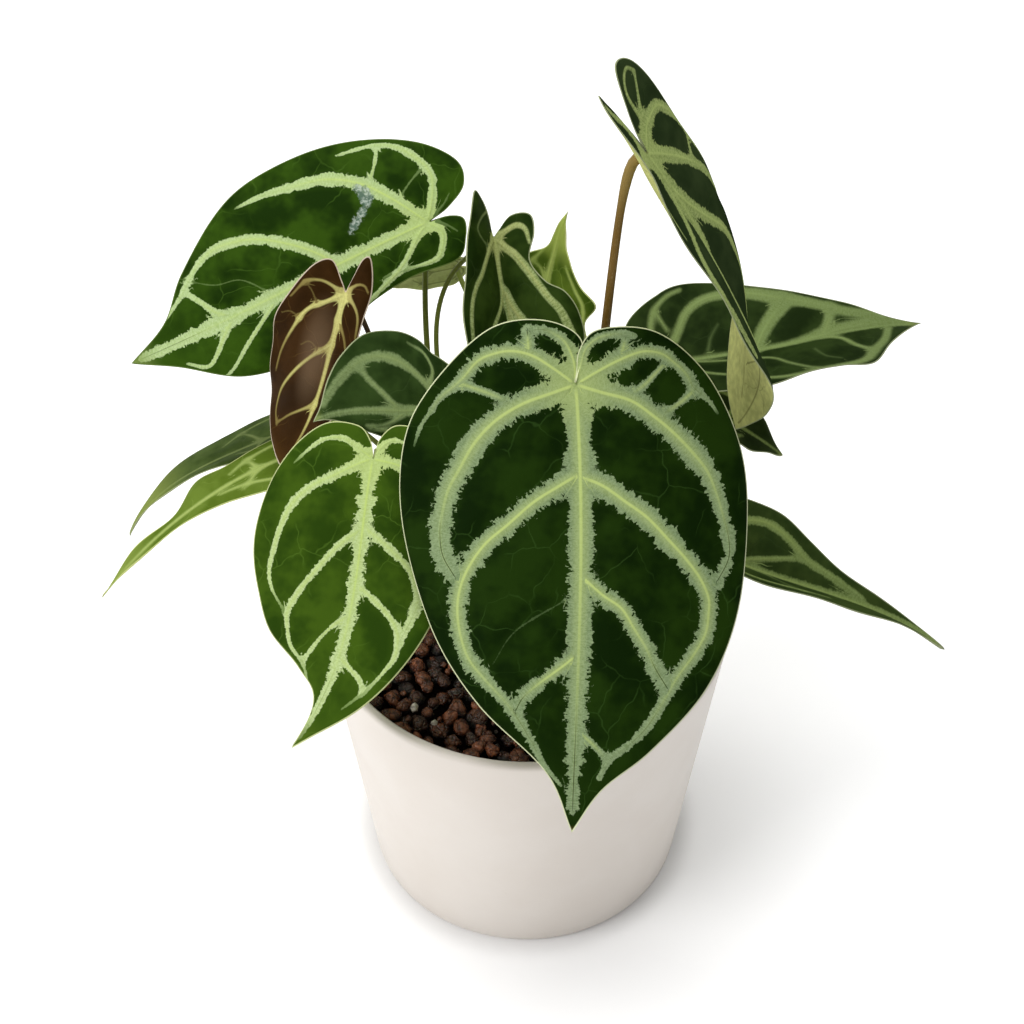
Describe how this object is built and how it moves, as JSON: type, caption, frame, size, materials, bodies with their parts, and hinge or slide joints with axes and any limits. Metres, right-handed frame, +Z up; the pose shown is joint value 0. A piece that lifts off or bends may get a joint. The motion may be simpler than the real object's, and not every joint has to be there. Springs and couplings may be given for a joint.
{
  "type": "potted anthurium",
  "caption": "House plant with heart-shaped, pale-veined leaves on thin arching petioles, standing in chunky substrate in a plain conical ceramic pot.",
  "frame": {"origin": "centre of the pot's flat base, on the surface that the pot stands on", "axes": "+Z up along the pot's axis; -Y towards the front of the plant; +X to the right seen from the front"},
  "size_m": [0.2959, 0.2159, 0.3115],
  "materials": {
    "pot": "satin",
    "substrate": "matte",
    "petiole": "satin",
    "blade_green": "satin",
    "blade_brown": "satin",
    "blade_pale": "satin"
  },
  "bodies": {
    "root": {"pot": "pot", "substrate": "substrate", "blade_front": "blade_green", "petiole_front": "petiole", "blade_front_left": "blade_green", "petiole_front_left": "petiole", "blade_back_left": "blade_green", "petiole_back_left": "petiole", "blade_young_brown": "blade_brown", "petiole_young_brown": "petiole", "blade_small_left": "blade_green", "petiole_small_left": "petiole", "blade_back_folded": "blade_green", "petiole_back_folded": "petiole", "blade_back_young": "blade_pale", "petiole_back_young": "petiole", "blade_tall": "blade_green", "petiole_tall": "petiole", "blade_right_back": "blade_green", "petiole_right_back": "petiole", "blade_right_small": "blade_green", "petiole_right_small": "petiole", "blade_right_low": "blade_green", "petiole_right_low": "petiole", "blade_left_upper": "blade_green", "petiole_left_upper": "petiole", "blade_left_lower": "blade_pale", "petiole_left_lower": "petiole", "blade_back_small": "blade_pale", "petiole_back_small": "petiole"}
  },
  "joints": []
}
